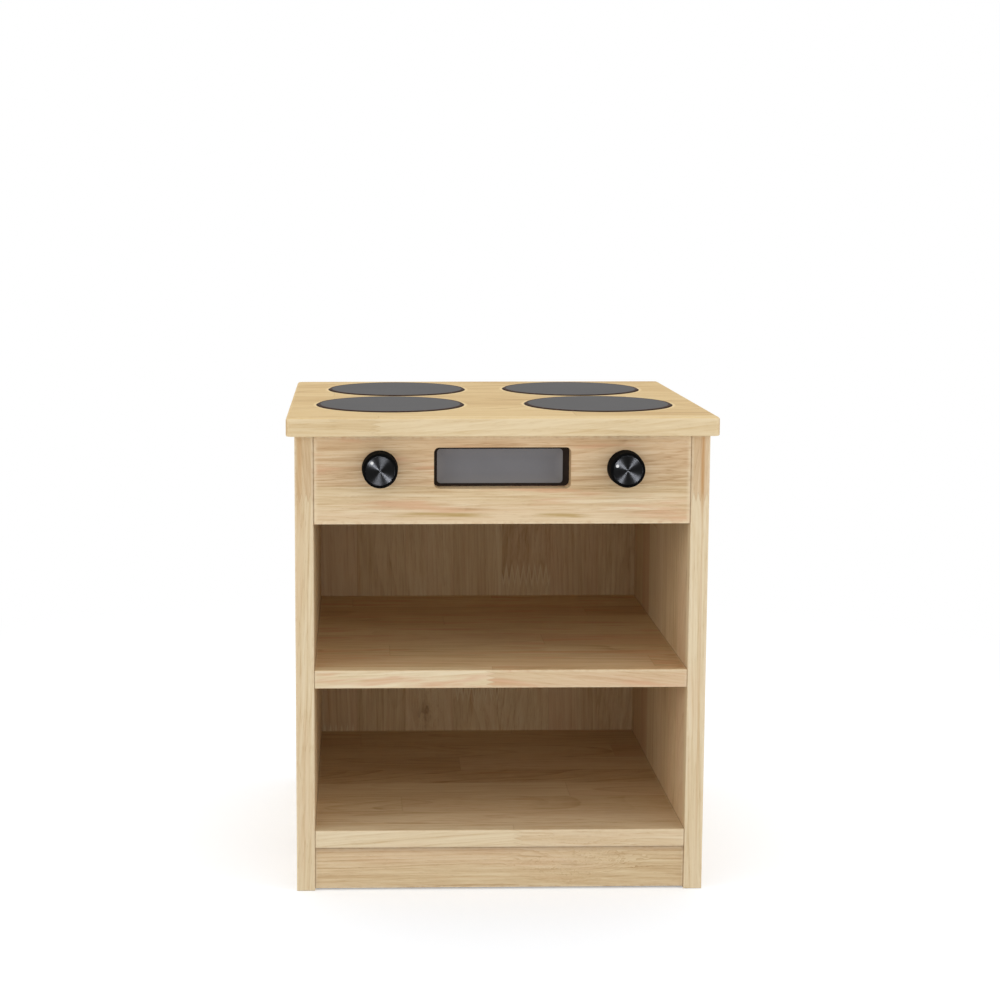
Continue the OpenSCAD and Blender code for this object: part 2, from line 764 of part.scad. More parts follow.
on_fascia(-knob_x) bush_washer();  // left_bush_washer
on_fascia(-knob_x) bush_nut();  // left_bush_nut
on_fascia(knob_x) knob_body(right_mark_angle);  // right_knob_body
on_fascia(knob_x) knob_inlay(right_mark_angle);  // right_knob_inlay
on_fascia(knob_x) knob_mark(right_mark_angle);  // right_knob_mark
on_fascia(knob_x) spindle(right_mark_angle);  // right_spindle
on_fascia(knob_x) circlip(right_mark_angle);  // right_circlip
on_fascia(knob_x) bush();  // right_bush
on_fascia(knob_x) bush_washer();  // right_bush_washer
on_fascia(knob_x) bush_nut();  // right_bush_nut
side_screws();
dowels();
back_screws();
cleat_side_screws();
cleat_top_screws();
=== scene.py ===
# Toy oven: looks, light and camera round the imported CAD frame.
# Metres, in the row frame: the front faces -Y, the width runs along X, the floor is z = 0.
import math
from types import SimpleNamespace

import bpy
from mathutils import Euler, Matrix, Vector


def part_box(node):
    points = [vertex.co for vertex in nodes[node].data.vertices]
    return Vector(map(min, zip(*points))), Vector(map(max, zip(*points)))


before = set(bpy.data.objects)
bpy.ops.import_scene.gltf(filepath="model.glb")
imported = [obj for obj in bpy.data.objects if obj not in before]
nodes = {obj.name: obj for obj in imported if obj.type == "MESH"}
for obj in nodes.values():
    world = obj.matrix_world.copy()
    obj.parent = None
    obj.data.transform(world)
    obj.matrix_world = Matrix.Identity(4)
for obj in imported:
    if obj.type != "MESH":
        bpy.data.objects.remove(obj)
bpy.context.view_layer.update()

# The camera, fitted to the photo.
CAMERA_AT = (-0.1400, -1.9377, 0.6675)
CAMERA_PITCH = 6.789  # degrees below the horizon
CAMERA_YAW = 1.031  # degrees to the right of straight ahead
CAMERA_LENS = 66.75
CAMERA_SENSOR = 36.0
CAMERA_SHIFT = (0.110, -0.070)
CAMERA_CLIP = (0.05, 50.0)

# The floor and the white surround.
FLOOR_RADIUS = 2.6
FLOOR_RINGS = 24
FLOOR_SIDES = 96
FLOOR_FADE = (0.55, 1.25)  # the floor turns into the white background between these radii
FLOOR_LIFT = 0.30  # how far the camera sees the floor lifted towards white
FLOOR_COLOUR = (236, 240, 245)
AMBIENT = 0.78  # the surround's strength as light; where it is seen, it is 1
FULL_WHITE = (1, 1, 1, 1)

# The lamps. Colours are sRGB, 0 to 255.
WARM_LIGHT = (255, 251, 246)
TOP_LIGHT = (255, 253, 250)
BACK_LIGHT = (250, 252, 255)
GLINT_LIGHT = (240, 244, 255)
LAMP_TARGET = Vector((0, 0, 0.26))
# name: (azimuth from the front towards +X, elevation, distance, size, power, colour)
LAMPS = {
    "lamp_left": (-62, 13, 2.3, (0.9, 0.9), 9, WARM_LIGHT),
    "lamp_right": (62, 13, 2.3, (0.9, 0.9), 8.5, WARM_LIGHT),
    "lamp_top": (0, 80, 2.2, (1.6, 1.6), 4, TOP_LIGHT),
    "lamp_back": (180, 45, 2.4, (1.4, 1.0), 3, BACK_LIGHT),
    "glint_left_wide": (-55, 5, 2.3, (1.0, 1.3), 520, GLINT_LIGHT),
    "glint_left_fine": (40, 33, 2.3, (0.6, 0.5), 620, GLINT_LIGHT),
    "glint_right_near": (-60, 34, 2.3, (1.0, 0.8), 860, GLINT_LIGHT),
    "glint_right_far": (60, 34, 2.3, (1.15, 0.8), 800, GLINT_LIGHT),
}
# The glints only draw the highlights on the knobs' turned faces, two on each.
GLINT_NODES = {"glint_left": "left_knob_inlay", "glint_right": "right_knob_inlay"}

# Wood colours.
PALE = (235, 217, 184)
CREAM = (222, 199, 160)
TAN = (205, 177, 136)
LATE = (176, 141, 98)  # the late wood of a year's ring
PINK = (214, 174, 140)
PEACH = (216, 168, 132)
AMBER = (196, 147, 92)
OCHRE = (188, 160, 106)
# the knots' brown, also laid as painted shade in the joints
KNOT_AND_SHADE = (132, 92, 58)
SHADED_GAP = (58, 40, 30)  # painted shade: the dark gap round a hob plate
HALO_HIGHLIGHT = (246, 228, 192)  # painted highlight: a pale ring on the arris outside that gap
WHITE = (255, 255, 255)

# Colours of the other materials, darker one first where they vary.
PLATE_GREYS = ((88, 87, 87), (98, 97, 97))
PLATE_SCUFF = (130, 129, 129)
PLATE_EDGE = (62, 46, 40)
PLATE_EDGE_WORN = (120, 96, 80)
PLATE_EDGE_STARTS = (-0.0036, -0.0022)  # outwards from the plate's rim: where it fades in
ACRYLIC_GREYS = ((113, 112, 115), (121, 120, 123))
# painted light: a lighter rim against the shade near the panel's edges
ACRYLIC_RIM_LIGHT = (132, 131, 133)
ACRYLIC_RIM_LIGHT_WIDTH = 0.010
ACRYLIC_SPECK = (150, 150, 150)
BACKING_BROWNS = ((42, 33, 27), (58, 46, 38))
KNOB_BLACKS = ((9, 9, 9), (19, 19, 19))
SPUN_GREYS = ((23, 23, 23), (38, 38, 38))
SPUN_RIM = (10, 10, 10)
SPUN_RIM_STARTS = (-0.0009, -0.0002)  # outwards from the face's rim: where it fades in
ENAMEL_WHITES = ((232, 232, 230), (246, 246, 244))
ZINC_GREYS = ((128, 130, 134), (176, 177, 179))
STEEL_GREYS = ((120, 121, 124), (170, 171, 172))
BRASS_YELLOWS = ((160, 124, 66), (206, 170, 104))

PLATES = ("burner_front_left", "burner_front_right", "burner_back_left", "burner_back_right")
AXES = "XYZ"

# What a board's wood is like where WOODS says nothing else.
BOARD = dict(
    stave=0.045,  # width of a stave
    length=0.55,  # length of the pieces in a stave
    joint=(0.0, 0.0),  # where two pieces meet, along and across; the other joints follow from it
    tooth=0.009,  # length of the zigzag joints' teeth
    pitch=0.0042,  # spacing of the teeth
    tooth_face=False,  # whether the zigzag runs across the board's face instead of its thickness
    seed=1.0,  # picks the logs; most were picked so that the staves' tones follow the photo
    tone=0.0,  # how much paler the board is
    contrast=1.0,  # strength of all the differences in tone
    slope=(0.05, 0.10),  # how far the grain may run off a stave's length, across and in depth
    rings=0.0042,  # width of a year's ring
    late_wood=0.34,  # how dark the late wood is
    crisp=0.5,  # strength of the thin threads
    lines=0.16,  # strength of the pencil lines
    pink=0.35,  # strength of the pink blush
    flush=0.0,  # least share of the blush on any stave
    peach=0.10,  # strength of the peach patches
    knots=(),  # along, across, size, darkness
    marks=(),  # streaks, and some pale bands of painted light: along, across, half length, half width, colour, strength
    stains=(),  # amber streaks: along, depth, half length, half width, strength
    shades=(),  # painted shade lines along joints: axis, place, reach, strength
    plates=(),  # the hob plates let into the board: middle, radius
    butt_line=0.0009,  # width of the line where two pieces meet
    butt_shade=LATE,
    butt_share=0.30,
    arris=(0.0032, 0.75),  # width and strength of the paler edges, partly sanded wear and partly painted highlight
    ends=0.35,  # strength of the painted shade line in the joints at the board's ends
    gloss=0.25,  # the shader's specular level
    tint=WHITE,  # multiplies the colour of the broad faces; on the shelf, the bottom board and the right side it darkens them as painted shade
    edge_tint=WHITE,  # multiplies the colour of the edges and ends
)

# The wood's noises: waves per metre along and over the grain, octaves, roughness.
GRAINS = {
    "drift": (1.6, 9.0, 2.0, 0.45),  # the rings' slow wander
    "ripple": (9.0, 30.0, 2.0, 0.5),  # small waves in the rings and in the marks
    "curl": (80.0, 190.0, 2.0, 0.55),  # uneven knots
    "broad": (2.2, 16.0, 2.0, 0.5),  # broad bands, paler and darker
    "fibre": (5.0, 210.0, 4.0, 0.62),
    "thread": (13.0, 470.0, 3.0, 0.6),
    "fine": (34.0, 1300.0, 2.0, 0.5),
    "ridge": (7.0, 150.0, 3.0, 0.6),  # its middle values draw the pencil lines
    "pore": (120.0, 2400.0, 1.0, 0.5),
    "streak": (1.4, 62.0, 2.0, 0.5),  # amber streaks
    "patch": (9.0, 75.0, 3.0, 0.55),  # peach patches
}
ROW_START = 10.5  # the staves are counted from here, so that their numbers stay above zero
COLUMN_START = 10  # the same for the pieces in a stave
ROW_STEP = 0.618  # share of a length by which each stave's joints are staggered
DEPTH_DICE = 7.31  # makes a second random value out of a stave's first
LOG_SPREAD = (7.0, 7.0, 7.0)  # how far apart the logs of the staves lie in the noises
PITH_SPREAD = 0.07  # how far the pith may lie off a stave's middle
PITH_DEPTH = (0.06, 0.012)  # how much its depth varies, and its least depth
RING_DRIFT = 0.045
RING_RIPPLE = 0.0035
YEARS = (60.0, 0.012)  # waves per metre and size of the change from narrow to wide years
LATE_SHARPNESS = 3.0
LATE_FALL = (0.92, 1.0)  # share of the ring over which the late wood ends
LATE_VARIES = (0.85, 0.15)  # how much it varies between rings, and its least strength
KNOT_STRETCH = 2.6
KNOT_WOBBLE = 2.4
KNOT_BULGE = 1.1
KNOT_CORE = 5.0
MARK_BEND = 0.010
SEAM_WIDTH = 0.0006
SEAM_SHARE = 0.30
END_SHARE = 0.45  # how dark the end grain is
END_SHADE_REACH = 0.0016  # how far the painted shade reaches from a board's ends
UPPER_FACE = (-0.0020, -0.0010)  # up from the countertop's top: where the rims fade in
GAP_STARTS = (-0.0004, 0.0)  # outwards from a plate's rim, as are the next two
GAP_STOPS = (0.0010, 0.0018)
HALO_STOPS = (0.0022, 0.0056)
HALO_SHARE = 0.75
RELIEF = 0.00018  # depth of the wood's bumps

WOODS = {
    "countertop": dict(
        grain="X", across="Y", stave=0.047, length=0.50, seed=10612.0, joint=(-0.122, -0.180),
        tone=0.12, pink=0.0, peach=0.0, ends=0.0, gloss=0.05,
        tint=(255, 246, 222), edge_tint=(255, 252, 245),
    ),
    "fascia": dict(
        grain="X", across="Z", stave=0.062, length=3.0, seed=5.0, joint=(1.5, 0.400),
        tone=0.09, slope=(0.015, 0.05), crisp=1.25, lines=0.26, pink=0.60, flush=0.5, peach=0.55,
        arris=(0.0055, 1.0), ends=0.6, tint=(255, 252, 249),
        knots=((-0.030, 0.3820, 0.0050, 0.08),),
        marks=(
            # Painted highlight: a broad pale band along the lower edge.
            (0.0, 0.3712, 0.300, 0.0100, PALE, 0.42),
            (0.109, 0.3883, 0.090, 0.0030, PALE, 1.0),
            (0.105, 0.3800, 0.060, 0.0024, PALE, 0.90),
            (-0.120, 0.3800, 0.070, 0.0026, PALE, 0.80),
            (-0.025, 0.3850, 0.040, 0.0022, PALE, 1.0),
            (-0.030, 0.3810, 0.030, 0.0016, LATE, 0.55),
            (-0.060, 0.3745, 0.058, 0.0036, OCHRE, 1.0),
            (0.058, 0.3742, 0.034, 0.0032, OCHRE, 0.9),
            (0.140, 0.3760, 0.030, 0.0016, LATE, 0.45),
        ),
    ),
    "left_side": dict(
        grain="Z", across="Y", stave=0.046, length=0.70, seed=4574.0, joint=(0.392, -0.170),
        tone=-0.02, ends=0.0,
        stains=((0.430, -0.1962, 0.090, 0.0055, 0.65), (0.20, -0.1988, 0.22, 0.0030, 0.35)),
    ),
    "right_side": dict(
        grain="Z", across="Y", stave=0.046, length=0.70, seed=8845.0, joint=(0.392, -0.170),
        # The tint darkens both broad faces; it is painted shade meant for the inner wall.
        tone=0.04, ends=0.0, tint=(250, 247, 243),
        stains=((0.44, 0.1930, 0.090, 0.0030, 0.9), (0.20, 0.1936, 0.22, 0.0016, 0.45)),
    ),
    "middle_shelf": dict(
        grain="X", across="Y", stave=0.046, length=0.42, seed=15077.0, joint=(-0.010, -0.170),
        # The tint darkens the broad faces as painted shade inside the compartments.
        tone=0.08, contrast=1.15, pink=0.50, peach=0.60, tint=(246, 236, 222),
    ),
    "bottom_board": dict(
        grain="X", across="Y", stave=0.046, length=0.46, seed=5804.0, joint=(0.018, -0.170),
        # The tint darkens the broad faces as painted shade inside the compartment.
        tone=0.08, late_wood=0.46, pink=0.40, tint=(237, 231, 223),
        knots=((0.085, -0.172, 0.012, 0.06),),
        # Painted light: a broad pale band along the front of the upper face.
        marks=((0.0, -0.1480, 0.400, 0.0420, PALE, 0.75),),
        # Painted shade: a dark line along the lower edge, by the plinth.
        shades=(("Z", 0.043, 0.0025, 0.35),),
    ),
    "plinth": dict(
        grain="X", across="Z", stave=0.090, length=3.0, seed=20.0, joint=(1.5, 0.02),
        tone=-0.02, slope=(0.02, 0.05), rings=0.0034, late_wood=0.52, pink=0.30,
        knots=((0.076, 0.0270, 0.0150, 0.10),),
        marks=(
            (0.030, 0.0345, 0.026, 0.0011, LATE, 0.60),
            (0.112, 0.0350, 0.022, 0.0011, LATE, 0.50),
            (0.072, 0.0250, 0.016, 0.0012, LATE, 0.45),
            (-0.150, 0.0300, 0.030, 0.0011, LATE, 0.45),
        ),
        # Painted shade: a dark band along the top, under the bottom board.
        shades=(("Z", 0.043, 0.0065, 0.40),),
    ),
    "back_panel": dict(
        grain="Z", across="X", stave=0.056, length=0.36, seed=29227.0, joint=(0.246, 0.056),
        tooth_face=True, tooth=0.022, pitch=0.0066,
        butt_line=0.0065, butt_shade=PALE, butt_share=0.75,
        tone=-0.04, late_wood=0.22, pink=0.45,
        knots=((0.083, -0.061, 0.011, 0.50),),
    ),
    "left_cleat": dict(grain="Y", across="X", stave=0.030, length=0.60, seed=26.0),
    "right_cleat": dict(grain="Y", across="X", stave=0.030, length=0.60, seed=29.0),
}
DOWELS = dict(grain="X", across="Y", stave=0.5, length=2.0, seed=40.0, tone=-0.05)


def linear(colour):
    """Scene-linear RGBA of an sRGB colour given as 0 to 255."""
    out = []
    for c in colour:
        c = c / 255
        out.append(c / 12.92 if c <= 0.04045 else ((c + 0.055) / 1.055) ** 2.4)
    return (*out, 1.0)


class Nodes:
    """Adds nodes to a tree; most methods return the output socket of the node that they add."""

    def __init__(self, tree):
        self.tree = tree
        tree.nodes.clear()

    def put(self, socket, value):
        """Links a socket to another one, or sets its own value."""
        if isinstance(value, bpy.types.NodeSocket):
            self.tree.links.new(value, socket)
        else:
            socket.default_value = value

    def add(self, kind, *values, **settings):
        """Adds a node and fills its inputs in their order."""
        node = self.tree.nodes.new(kind)
        for key, value in settings.items():
            setattr(node, key, value)
        for socket, value in zip(node.inputs, values):
            self.put(socket, value)
        return node

    def fill(self, node, **values):
        """Fills a node's inputs by their names."""
        for key, value in values.items():
            self.put(node.inputs[key.replace("_", " ")], value)
        return node

    def math(self, operation, *values):
        return self.add("ShaderNodeMath", *values, operation=operation).outputs[0]

    def sum(self, *terms):
        total = terms[0]
        for term in terms[1:]:
            total = self.math("ADD", total, term)
        return total

    def product(self, *factors):
        total = factors[0]
        for factor in factors[1:]:
            total = self.math("MULTIPLY", total, factor)
        return total

    def weigh(self, *parts):
        """Adds up its parts, which are plain terms or pairs of a value and its weight."""
        return self.sum(*(self.product(*part) if isinstance(part, tuple) else part
                          for part in parts))

    def less(self, a, b):
        return self.math("SUBTRACT", a, b)

    def apart(self, a, b):
        return self.math("ABSOLUTE", self.less(a, b))

    def larger(self, a, b):
        return self.math("MAXIMUM", a, b)

    def smaller(self, a, b):
        return self.math("MINIMUM", a, b)

    def centred(self, value, size):
        """A value of 0 to 1 as a swing of that size round zero."""
        return self.math("MULTIPLY_ADD", value, size, -size / 2)

    def span(self, value, low, high, to_low=0.0, to_high=1.0):
        """Maps low..high smoothly to to_low..to_high and holds it outside."""
        node = self.add("ShaderNodeMapRange", interpolation_type="SMOOTHSTEP")
        self.fill(node, Value=value, From_Min=low, From_Max=high, To_Min=to_low, To_Max=to_high)
        return node.outputs["Result"]

    def strip(self, value, middle, full, reach):
        """1 up to full from the middle, 0 further than reach from it."""
        return self.span(self.apart(value, middle), full, reach, 1.0, 0.0)

    def split(self, vector):
        return list(self.add("ShaderNodeSeparateXYZ", vector).outputs)

    def join(self, x, y, z):
        return self.add("ShaderNodeCombineXYZ", x, y, z).outputs[0]

    def vector(self, operation, *values):
        return self.add("ShaderNodeVectorMath", *values, operation=operation).outputs["Vector"]

    def radius(self, a, b):
        """Distance of the point (a, b) from the origin of its plane."""
        flat = self.join(a, b, 0.0)
        return self.add("ShaderNodeVectorMath", flat, operation="LENGTH").outputs["Value"]

    def noise(self, vector, scale=1.0, detail=2.0, roughness=0.5, distortion=0.0):
        node = self.add("ShaderNodeTexNoise")
        self.fill(node, Vector=vector, Scale=scale, Detail=detail, Roughness=roughness,
                  Distortion=distortion)
        return node.outputs["Fac"]

    def stretched(self, vector, scales, **settings):
        """Noise with its own number of waves per metre along each axis."""
        return self.noise(self.vector("MULTIPLY", vector, scales), **settings)

    def dice(self, vector):
        """One random value and one random vector for each whole-numbered cell."""
        node = self.add("ShaderNodeTexWhiteNoise", noise_dimensions="3D")
        self.fill(node, Vector=vector)
        return node.outputs["Value"], node.outputs["Color"]

    def ramp(self, value, stops):
        """Colours along the stops, which are pairs of a place and a colour."""
        stops = list(stops)
        node = self.add("ShaderNodeValToRGB", value)
        elements = node.color_ramp.elements
        while len(elements) < len(stops):
            elements.new(0.5)
        for element, (place, colour) in zip(elements, stops):
            element.position = place
            element.color = linear(colour)
        return node.outputs["Color"]

    def between(self, value, low, high, colours):
        """The first colour up to low, the second from high on, and a blend between them."""
        return self.ramp(value, zip((low, high), colours))

    def mix(self, share, a, b, mode="MIX"):
        node = self.add("ShaderNodeMix", data_type="RGBA", blend_type=mode)
        for index, value in ((0, share), (6, a), (7, b)):
            self.put(node.inputs[index], linear(value) if isinstance(value, tuple) else value)
        return node.outputs[2]

    def bump(self, height, distance):
        node = self.add("ShaderNodeBump")
        return self.fill(node, Height=height, Distance=distance, Strength=1.0).outputs["Normal"]

    def seen(self):
        """1 for what is seen, straight, in gloss or through glass, and 0 for light."""
        rays = self.add("ShaderNodeLightPath").outputs
        return self.larger(rays["Is Camera Ray"],
                           self.larger(rays["Is Glossy Ray"], rays["Is Transmission Ray"]))


class Shader(Nodes):
    """Builds one node material on the object's own coordinates."""

    def __init__(self, name):
        self.material = bpy.data.materials.new(name)
        self.material.use_nodes = True
        super().__init__(self.material.node_tree)
        self.output = self.add("ShaderNodeOutputMaterial").inputs["Surface"]
        self.coords = self.add("ShaderNodeTexCoord").outputs["Object"]

    def arris(self, xyz, box, reach):
        """1 on the edges where two faces of a box meet, 0 further than reach from them."""
        x, y, z = (self.smaller(self.less(value, low), self.less(high, value))
                   for value, low, high in zip(xyz, *box))
        second = self.larger(self.smaller(x, y), self.smaller(self.larger(x, y), z))
        return self.span(second, 0.0, reach, 1.0, 0.0)

    def finish(self, **sockets):
        """Ends in a Principled shader; a plain number is set on its own socket."""
        shader = self.fill(self.add("ShaderNodeBsdfPrincipled"), **sockets)
        self.put(self.output, shader.outputs[0])
        return self.material


class Wood(Shader):
    """Edge-glued, finger-jointed softwood: staves across, cut into lengths along the grain.
    u runs along the grain, v across the staves and w through the board."""

    def __init__(self, name, box, grain, across, **changes):
        super().__init__(name)
        self.box = box
        self.look = SimpleNamespace(**{**BOARD, **changes})
        depth = next(axis for axis in AXES if axis not in (grain, across))
        self.along, over, self.through = (AXES.index(axis) for axis in (grain, across, depth))
        self.xyz = self.split(self.coords)
        self.u, self.v, self.w = (self.xyz[axis] for axis in (self.along, over, self.through))
        normal = self.split(self.add("ShaderNodeNewGeometry").outputs["Normal"])
        self.end = self.span(self.math("ABSOLUTE", normal[self.along]), 0.55, 0.9)
        self.broad_face = self.span(self.math("ABSOLUTE", normal[self.through]), 0.5, 0.9)

    def lay(self, colour, share):
        """Lays a colour over the wood by the given share."""
        self.colour = self.mix(share, self.colour, colour)

    def grained(self, kind):
        """One of the GRAINS, stretched along the grain of the stave's own log."""
        along, over, detail, roughness = GRAINS[kind]
        return self.stretched(self.place, (along, over, over), detail=detail, roughness=roughness)

    def cut_staves(self):
        """Numbers the staves and the lengths in them, which meet in zigzag joints, and rolls
        the dice of each length."""
        look = self.look
        self.row_at = self.math("DIVIDE", self.sum(self.v, ROW_START * look.stave), look.stave)
        self.row = self.math("FLOOR", self.row_at)
        zigzag = self.math("PINGPONG", self.v if look.tooth_face else self.w, look.pitch / 2)
        zigzag = self.product(zigzag, 2 * look.tooth / look.pitch)
        joint_along, joint_across = look.joint
        joint_row = math.floor(joint_across / look.stave + ROW_START)
        start = ((COLUMN_START - joint_row * ROW_STEP % 1) * look.length
                 - joint_along - look.tooth / 2)
        stagger = self.product(self.math("FRACT", self.product(self.row, ROW_STEP)), look.length)
        self.column_at = self.math("DIVIDE", self.sum(self.u, zigzag, stagger, start), look.length)
        cell = self.join(self.row, self.math("FLOOR", self.column_at), look.seed)
        self.tone_dice, self.log_dice = self.dice(cell)
        _, self.hue_dice, self.lean_dice = self.split(self.log_dice)
        self.depth_dice = self.math("FRACT", self.product(self.lean_dice, DEPTH_DICE))

    def pick_logs(self):
        """Puts each length into a log of its own, whose grain runs a little off its length."""
        lean, dive = (self.centred(dice, 2 * slope)
                      for dice, slope in zip((self.lean_dice, self.depth_dice), self.look.slope))
        self.tilted_v = self.math("MULTIPLY_ADD", self.u, lean, self.v)
        self.tilted_w = self.math("MULTIPLY_ADD", self.u, dive, self.w)
        tilted = self.join(self.u, self.tilted_v, self.tilted_w)
        self.place = self.vector("MULTIPLY_ADD", self.log_dice, LOG_SPREAD, tilted)
        self.grain = {kind: self.grained(kind) for kind in GRAINS}

    def bend_round_knots(self, radius):
        """Adds a swirl to the rings at each knot, and keeps how dark the knots are."""
        self.knot_spots = []
        wobble = self.centred(self.grain["curl"], KNOT_WOBBLE)
        for along, across, size, dark in self.look.knots:
            du = self.math("DIVIDE", self.less(self.u, along), KNOT_STRETCH * size)
            dv = self.math("DIVIDE", self.less(self.v, across), size)
            du, dv = self.sum(du, wobble), self.sum(dv, wobble)
            swirl = self.product(self.sum(self.product(du, du), self.product(dv, dv)), -1.0)
            swirl = self.math("EXPONENT", swirl)
            radius = self.math("MULTIPLY_ADD", swirl, KNOT_BULGE * size, radius)
            self.knot_spots.append(self.product(self.math("POWER", swirl, KNOT_CORE), dark))
        return radius

    def grow_rings(self):
        """Year rings round the pith of the stave's log."""
        look, grain = self.look, self.grain
        middle = self.product(self.sum(self.row, 0.5 - ROW_START), look.stave)
        pith_v = self.centred(self.lean_dice, PITH_SPREAD)
        pith_w = self.math("MULTIPLY_ADD", self.depth_dice, *PITH_DEPTH)
        radius = self.radius(self.sum(self.less(self.tilted_v, middle), pith_v),
                             self.sum(self.tilted_w, -self.box[0][self.through], pith_w))
        radius = self.weigh(radius, (grain["drift"], RING_DRIFT), (grain["ripple"], RING_RIPPLE))
        radius = self.bend_round_knots(radius)
        waves, swing = YEARS
        years = self.join(self.product(radius, waves), self.hue_dice, look.seed)
        radius = self.math("MULTIPLY_ADD", self.noise(years, roughness=0.6), swing, radius)
        ring_at = self.math("DIVIDE", radius, look.rings)
        ring_dice, _ = self.dice(self.join(self.math("FLOOR", ring_at), self.row, look.seed))
        phase = self.math("FRACT", ring_at)
        self.late = self.product(self.math("POWER", phase, LATE_SHARPNESS),
                                 self.span(phase, *LATE_FALL, 1.0, 0.0),
                                 self.math("MULTIPLY_ADD", ring_dice, *LATE_VARIES))

    def paint_grain(self):
        """The wood's own colour, from the broad bands down to single pores."""
        look, grain = self.look, self.grain
        self.pencil = self.product(self.strip(grain["ridge"], 0.5, 0.0, 0.030),
                                   self.span(grain["broad"], 0.40, 0.60, 0.35, 1.0))
        self.pores = self.span(grain["pore"], 0.66, 0.78)
        swings = ((self.tone_dice, 0.34), (grain["broad"], 0.60), (grain["fibre"], 0.80),
                  (grain["thread"], look.crisp), (grain["fine"], 0.30))
        level = self.sum(0.60 + look.tone,
                         *(self.centred(value, size * look.contrast) for value, size in swings))
        level = self.weigh(level, (self.late, -look.late_wood * look.contrast),
                           (self.pencil, -look.lines * look.contrast), (self.pores, -0.12))
        self.colour = self.ramp(level, ((0.0, LATE), (0.36, TAN), (0.62, CREAM), (0.98, PALE)))
        blush = self.product(self.larger(self.span(self.hue_dice, 0.35, 0.95), look.flush),
                             self.span(grain["broad"], 0.35, 0.62))
        self.lay(PINK, self.product(blush, look.pink))
        self.lay(PEACH, self.product(self.span(grain["patch"], 0.52, 0.66), look.peach))
        self.lay(AMBER, self.product(self.span(grain["streak"], 0.64, 0.80), 0.40))
        for spot in self.knot_spots:
            self.lay(KNOT_AND_SHADE, spot)

    def paint_streaks(self):
        """The streaks that were put at their given places."""
        grain = self.grain
        bent_v = self.sum(self.v, self.centred(grain["ripple"], MARK_BEND))
        ragged = self.span(self.sum(grain["fibre"], grain["fine"], -0.5), 0.36, 0.60, 0.10, 1.0)
        # Some marks are painted light: pale bands along the fascia's lower edge and the front of
        # the bottom board.
        for along, across, long, wide, colour, strength in self.look.marks:
            du = self.strip(self.u, along, 0.3 * long, long)
            dv = self.strip(bent_v, across, 0.2 * wide, wide)
            self.lay(colour, self.product(du, dv, ragged, strength))
        patchy = self.span(grain["fibre"], 0.35, 0.60, 0.4, 1.0)
        for along, depth, long, wide, strength in self.look.stains:
            du = self.strip(self.u, along, 0.3 * long, long)
            dw = self.strip(self.w, depth, 0.0, wide)
            self.lay(AMBER, self.product(du, dw, patchy, strength))

    def glue_joints(self):
        """Glue lines between the staves, and the zigzag line where two lengths meet."""
        look = self.look
        seam, butt = (self.strip(self.math("FRACT", self.sum(value, 0.5)), 0.5, 0.0, width)
                      for value, width in ((self.row_at, SEAM_WIDTH / look.stave),
                                           (self.column_at, look.butt_line / look.length)))
        self.glue = self.larger(seam, butt)
        self.lay(LATE, self.product(seam, SEAM_SHARE))
        self.lay(look.butt_shade, self.product(butt, look.butt_share))

    def age(self):
        """Darker end grain, paler arrises that are partly sanded wear and partly painted highlight,
        painted shade in the joints at the board's ends, and painted shade lines.
        """
        look = self.look
        self.lay(LATE, self.product(self.end, END_SHARE))
        # Paler arrises: partly sanded wear, partly painted highlight.
        reach, strength = look.arris
        rubbed = self.span(self.noise(self.coords, scale=160.0), 0.30, 0.62, 0.35, 1.0)
        edge = self.arris(self.xyz, self.box, reach)
        self.lay(PALE, self.product(edge, rubbed, strength))
        # Painted shade in the joints at the board's ends.
        low, high = (corner[self.along] for corner in self.box)
        from_end = self.smaller(self.less(self.u, low), self.less(high, self.u))
        end_shade = self.span(from_end, 0.0, END_SHADE_REACH, 1.0, 0.0)
        self.lay(KNOT_AND_SHADE, self.product(end_shade, look.ends))
        # Painted shade: dark lines along the given places, in the joints.
        for axis, place, reach, strength in look.shades:
            line = self.strip(self.xyz[AXES.index(axis)], place, 0.0, reach)
            self.lay(KNOT_AND_SHADE, self.product(line, strength))

    def rim_plates(self):
        """Painted shade as a dark ring round each hob plate, and a painted highlight as a pale ring
        outside it, on the upper face.
        """
        x, y, z = self.xyz
        upper = self.span(self.less(z, self.box[1].z), *UPPER_FACE)
        for middle, radius in self.look.plates:
            out = self.radius(self.less(x, middle.x), self.less(y, middle.y))
            out = self.less(out, radius)
            # Painted highlight: a pale ring outside the gap.
            self.lay(HALO_HIGHLIGHT, self.product(self.span(out, *HALO_STOPS, 1.0, 0.0), HALO_SHARE, upper))
            # Painted shade: a dark ring in and by the gap round the plate.
            gap_shade = self.product(self.span(out, *GAP_STARTS), self.span(out, *GAP_STOPS, 1.0, 0.0))
            self.lay(SHADED_GAP, self.product(gap_shade, upper))

    def build(self):
        """Runs the steps in their order, each laid over the ones before it."""
        for step in (self.cut_staves, self.pick_logs, self.grow_rings, self.paint_grain,
                     self.paint_streaks, self.glue_joints, self.age, self.rim_plates):
            step()
        look, grain = self.look, self.grain
        # On some boards the tint on the broad faces is painted shade.
        tint = self.mix(self.broad_face, look.edge_tint, look.tint)
        rough = self.weigh(0.50, (self.late, -0.08), (grain["fibre"], 0.14), (self.end, 0.18))
        height = self.weigh((grain["fibre"], 0.6), (grain["fine"], 0.35), (self.late, 0.30),
                            (self.pores, -0.6), (self.glue, -0.5), (self.pencil, -0.3))
        return self.finish(Base_Color=self.mix(1.0, self.colour, tint, "MULTIPLY"),
                           Roughness=rough, Normal=self.bump(height, RELIEF),
                           Specular_IOR_Level=look.gloss)


def middle_and_radius(node):
    """The middle of a round node, and half of its width."""
    low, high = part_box(node)
    return (low + high) / 2, (high.x - low.x) / 2


def dress(material, *names):
    """Gives the CAD nodes of these names this one material."""
    for name in names:
        nodes[name].data.materials.clear()
        nodes[name].data.materials.append(material)


